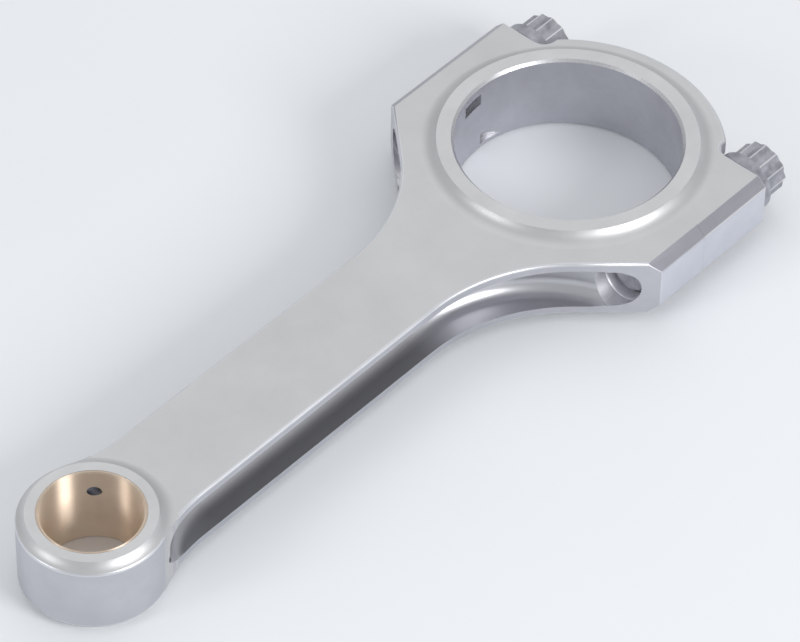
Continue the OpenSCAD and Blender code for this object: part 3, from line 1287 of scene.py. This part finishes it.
@dataclass(frozen=True)
class CapBolt:
    """A flanged cap bolt with a double-hexagon head and a rolled thread."""

    env: Envelope
    finishes: Finishes
    side: Side

    shank: float = 4.76 * MM
    flange: float = 7.3 * MM
    flange_thickness: float = 3.4 * MM
    head_point: float = 6.25 * MM
    pitch: float = 1.058 * MM
    thread_depth: float = 0.6 * MM
    tip: float = 16.0 * MM
    tip_taper: float = 0.8 * MM
    thread_start: float = 3.0 * MM
    steps_per_pitch: int = 6
    rim: float = 0.35 * MM
    phase: float = 0.0

    @property
    def centre(self) -> Vector:
        """Point of the bolt's axis on the parting plane."""
        return self.env.bolt_centre(self.side)

    @property
    def thread_end(self) -> float:
        """Place along the bolt where the thread meets the tip's taper."""
        return self.tip - self.tip_taper

    def _shank(self) -> Piece:
        """Turns the flange, the shank and the thread's blank, then rolls the thread on it."""
        seat = -self.env.seat
        top = seat - self.flange_thickness
        length = self.thread_end - self.thread_start
        steps = int(length / self.pitch * self.steps_per_pitch)
        stations = [self.thread_start + length * i / steps for i in range(steps + 1)]
        profile = [(top - MM, 0.0), (top - MM, 5.2 * MM), (top - 0.15 * MM, 5.4 * MM),
                   (top, self.flange - self.rim - 0.3 * MM), (top + self.rim, self.flange),
                   (seat - 0.2 * MM, self.flange), (seat, self.flange - 0.2 * MM),
                   (seat, self.shank), (self.thread_start - 0.4 * MM, self.shank)]
        profile += [(station, self.shank) for station in stations]
        profile += [(self.tip, self.shank - self.tip_taper), (self.tip, 1.6 * MM),
                    (self.tip - 0.9 * MM, 0.0)]
        piece = turned_profile(f"cap_bolt_{self.side.name.lower()}_steel", profile, self.centre,
                               Axis.X, BOLT_STEPS)
        self._roll_thread(piece)
        return piece

    def _roll_thread(self, piece: Piece) -> None:
        """Sinks a helical thread into the shank's blank."""
        for vert in piece.data.vertices:
            across = vert.co - self.centre
            out = math.hypot(across.y, across.z)
            along = vert.co.x
            threaded = self.thread_start <= along <= self.thread_end + WELD
            if out < self.shank - WELD * 10.0 or not threaded:
                continue
            turns = along / self.pitch - math.atan2(across.z, across.y) / math.tau
            wave = abs(2.0 * (turns % 1.0) - 1.0)
            fade = min(1.0, (along - self.thread_start) / self.pitch)
            depth = self.thread_depth * wave * fade
            vert.co.y = self.centre.y + across.y * (out - depth) / out
            vert.co.z = self.centre.z + across.z * (out - depth) / out

    def _head(self) -> Piece:
        """Makes the head's star: every second point of a circle pulled in, then extruded."""
        base = -self.env.seat - self.flange_thickness + 0.5 * MM
        top = -self.env.seat - self.env.head_length
        notch = math.cos(math.radians(30.0)) / math.cos(math.radians(15.0))
        clear_bench()
        bpy.ops.mesh.primitive_circle_add(
            vertices=24, radius=self.head_point, fill_type="NGON",
            location=(base, self.centre.y, 0.0), rotation=(0.0, math.radians(-90.0), 0.0))
        head = bpy.context.active_object
        head.name = "bolt_head"
        bpy.ops.object.transform_apply(location=True, rotation=True)
        pick_up(head, editing=True)
        bpy.ops.mesh.select_all(action="DESELECT")
        mesh = bmesh.from_edit_mesh(head.data)
        for vert in mesh.verts:
            vert.select_set(vert.index % 2 == 1)
        bmesh.update_edit_mesh(head.data)
        middle = (base, self.centre.y, 0.0)
        bpy.ops.transform.resize(value=(1.0, notch, notch), center_override=middle)
        bpy.ops.mesh.select_all(action="SELECT")
        bpy.ops.transform.rotate(value=math.radians(self.phase), orient_axis="X",
                                 center_override=middle)
        bpy.ops.mesh.extrude_region_move(
            TRANSFORM_OT_translate={"value": (top - base, 0.0, 0.0)})
        close_up()
        dress(head, self.finishes.bolt)
        # The lighter finish of the rounded points is partly wear and partly painted highlight.
        round_edges(head, lambda edge: is_sharp(edge, 20.0) and edge.is_convex, 0.2 * MM, 2,
                    finish=self.finishes.ridge)
        taper = turned_profile(
            "head_taper",
            [(top, 0.0), (top, self.head_point - 0.9 * MM), (top + 0.7 * MM, self.head_point + MM),
             (base + MM, self.head_point + MM), (base + MM, 0.0)],
            self.centre, Axis.X, BOLT_STEPS)
        work(head, dress(taper, self.finishes.bolt), "INTERSECT")
        dish = turned_profile(
            "head_dish", [(top - MM, 0.0), (top - MM, 3.4 * MM), (top, 3.1 * MM),
                          (top + 0.6 * MM, 2.6 * MM), (top + 0.6 * MM, 0.0)],
            self.centre, Axis.X, 48)
        work(head, dress(dish, self.finishes.bolt))
        return head

    def build(self) -> Piece:
        """Makes the whole bolt.

        Returns:
            The finished piece.
        """
        bolt = dress(self._shank(), self.finishes.bolt)
        work(bolt, self._head(), "UNION")
        polish(bolt, 28.0)
        return bolt


@dataclass(frozen=True)
class Inserts:
    """The pressed-in parts: the bronze pin bush and the ring dowels around the bolts."""

    env: Envelope
    finishes: Finishes

    bush_edge: float = 0.25 * MM
    end_gap: float = 0.05 * MM
    oil_hole: float = 1.3 * MM
    oil_opening: float = 137.7
    oil_direction: float = 101.0
    oil_near: float = -1.5 * MM
    oil_far: float = 4.2 * MM
    drill_length: float = 16.0 * MM
    drill_back: float = 2.75 * MM

    def oil_drill(self, side: Side) -> Piece:
        """Makes the drill of one oil hole, through the eye and the bush.

        Args:
            side: Side of the eye that the hole comes out on.

        Returns:
            The cutter.
        """
        opening, direction = math.radians(self.oil_opening), math.radians(self.oil_direction)
        height = self.oil_near if side is Side.NEAR else self.oil_far
        start = Vector((self.env.small_end + self.env.pin * math.cos(opening),
                        side.value * self.env.pin * math.sin(opening), height))
        along = Vector((math.cos(direction), side.value * math.sin(direction), 0.0))
        middle = start + along * (self.drill_length / 2.0 - self.drill_back)
        clear_bench()
        bpy.ops.mesh.primitive_cylinder_add(
            vertices=40, radius=self.oil_hole, depth=self.drill_length, location=middle,
            rotation=along.to_track_quat("Z", "Y").to_euler())
        drill = bpy.context.active_object
        bpy.ops.object.transform_apply(location=True, rotation=True)
        return dress(drill, self.finishes.notch)

    def bush(self) -> Piece:
        """Makes the pin bush, with bevelled mouths and its oil holes."""
        half, edge, inner, outer = (self.env.half_width, self.bush_edge, self.env.pin,
                                    self.env.bush)
        broken = 0.12 * MM
        profile = [(-half, inner + edge), (-half + edge, inner), (half - edge, inner),
                   (half, inner + edge), (half, outer - broken), (half - broken, outer),
                   (-half + broken, outer), (-half, outer - broken)]
        bush = turned_profile("pin_bush_bronze", profile, self.env.eye_centre, Axis.Z,
                              SMALL_STEPS)
        dress(bush, self.finishes.bronze)
        for side in Side:
            work(bush, self.oil_drill(side))
        polish(bush)
        return bush

    def dowel(self, side: Side) -> Piece:
        """Makes one ring dowel with broken edges."""
        inner, outer, broken = self.env.clearance_hole, self.env.dowel, 0.15 * MM
        low, high = -self.env.dowel_depth + self.end_gap, self.env.dowel_depth
        profile = [(low, inner + broken), (low + broken, inner), (high - broken, inner),
                   (high, inner + broken), (high, outer - broken), (high - broken, outer),
                   (low + broken, outer), (low, outer - broken)]
        name = f"alignment_sleeve_{side.name.lower()}_steel"
        dowel = dress(turned_profile(name, profile, self.env.bolt_centre(side), Axis.X, 96),
                      self.finishes.sleeve)
        polish(dowel)
        return dowel


# --------------------------------------------------------------------- studio


@dataclass(frozen=True)
class Studio:
    """Plain pale floor, soft light and the camera."""

    floor_height: float
    azimuth: float = 130.845
    elevation: float = 45.388
    roll: float = 1.105
    distance: float = 1.11497
    target: Triple = (0.060438, 0.003901, 0.0)
    focal_widths: float = 6.4306
    floor_size: float = 6.0
    room_light: float = 0.575

    def camera(self) -> None:
        """Places the camera."""
        azimuth, elevation = math.radians(self.azimuth), math.radians(self.elevation)
        back = Vector((math.sin(azimuth) * math.cos(elevation),
                       -math.cos(azimuth) * math.cos(elevation), math.sin(elevation)))
        place = Vector(self.target) + back * self.distance
        clear_bench()
        bpy.ops.object.camera_add(location=place)
        camera = bpy.context.active_object
        turn = back.to_track_quat("Z", "Y") @ Matrix.Rotation(
            math.radians(self.roll), 3, "Z").to_quaternion()
        camera.rotation_euler = turn.to_euler()
        camera.data.sensor_width = 36.0
        camera.data.lens = self.focal_widths * camera.data.sensor_width
        camera.data.clip_end = 20.0
        bpy.context.scene.camera = camera

    def floor(self) -> None:
        """Lays the floor."""
        clear_bench()
        bpy.ops.mesh.primitive_plane_add(size=self.floor_size,
                                         location=(0.0, 0.0, self.floor_height))
        floor = bpy.context.active_object
        floor.name = "floor"
        sheet = Sheet("floor_card")
        cloud = sheet.noise(sheet.place, 9.0, detail=2.0)
        sheet.set("Base Color", sheet.blend(cloud, (0.885, 0.905, 0.93), (0.905, 0.925, 0.95)))
        sheet.set("Roughness", 0.7)
        dress(floor, sheet.material)

    def light(self, name: str, heading: float, height: float, distance: float, size: float,
              power: float) -> None:
        """Hangs a square soft light that faces the object.

        Args:
            name: Name of the light.
            heading: Direction from the object, in degrees about +Z from +X.
            height: Angle above the floor, in degrees.
            distance: Distance from the object.
            size: Length of its sides.
            power: Power in watts.
        """
        turn, rise = math.radians(heading), math.radians(height)
        away = Vector((math.cos(turn) * math.cos(rise), math.sin(turn) * math.cos(rise),
                       math.sin(rise)))
        clear_bench()
        bpy.ops.object.light_add(type="AREA", location=Vector(self.target) + away * distance)
        lamp = bpy.context.active_object
        lamp.name = name
        lamp.data.size = size
        lamp.data.energy = power
        lamp.rotation_euler = away.to_track_quat("Z", "Y").to_euler()

    def world(self) -> None:
        """Fills the room with even light."""
        world = bpy.data.worlds.new("room")
        bpy.context.scene.world = world
        world.use_nodes = True
        background = world.node_tree.nodes["Background"]
        background.inputs["Color"].default_value = (0.965, 0.98, 1.0, 1.0)
        background.inputs["Strength"].default_value = self.room_light

    def set_up(self) -> None:
        """Builds the whole studio."""
        bpy.context.scene.view_settings.view_transform = "Standard"
        self.world()
        self.floor()
        self.light("key", heading=92.0, height=28.0, distance=1.3, size=0.5, power=8.0)
        self.light("fill", heading=-20.0, height=25.0, distance=1.3, size=0.3, power=1.9)
        self.light("overhead", heading=221.0, height=64.0, distance=1.5, size=2.0, power=4.6)
        self.camera()


# ----------------------------------------------------------------------- main


def place(piece: Piece, body: str, node: str, slot: str) -> None:
    """Says which body a piece rides on, and hides the CAD node that it stands for.

    Args:
        piece: The visual piece.
        body: Body that it moves with.
        node: CAD node that it replaces.
        slot: Material slot of the record; not used.
    """
    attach(piece, body)
    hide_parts(node)
    LOG.info("%s: %d faces, rides on %s", piece.name, len(piece.data.polygons), body)


def main() -> None:
    """Builds the connecting rod around its frame and sets up the studio."""
    logging.basicConfig(level=logging.INFO, format="%(message)s")
    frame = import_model()
    clear_bench()
    env = Envelope.from_frame(frame["record"])
    finishes = Finishes(env.small_end)
    inserts = Inserts(env, finishes)

    drills = [inserts.oil_drill(side) for side in Side]
    place(RodBody(env, finishes).build(drills), "rod", "rod_body", "blasted_steel")
    place(BearingCap(env, finishes).build(), "cap", "bearing_cap", "blasted_steel")
    place(inserts.bush(), "rod", "pin_bush", "bronze")
    for side, phase in ((Side.NEAR, 0.0), (Side.FAR, 5.0)):
        word = side.name.lower()
        bolt = CapBolt(env, finishes, side, phase=phase).build()
        place(bolt, f"bolt_{word}", f"cap_bolt_{word}", "bolt_steel")
        place(inserts.dowel(side), "rod", f"alignment_sleeve_{word}", "sleeve_steel")

    Studio(floor_height=-env.half_width).set_up()


if __name__ == "__main__":
    main()
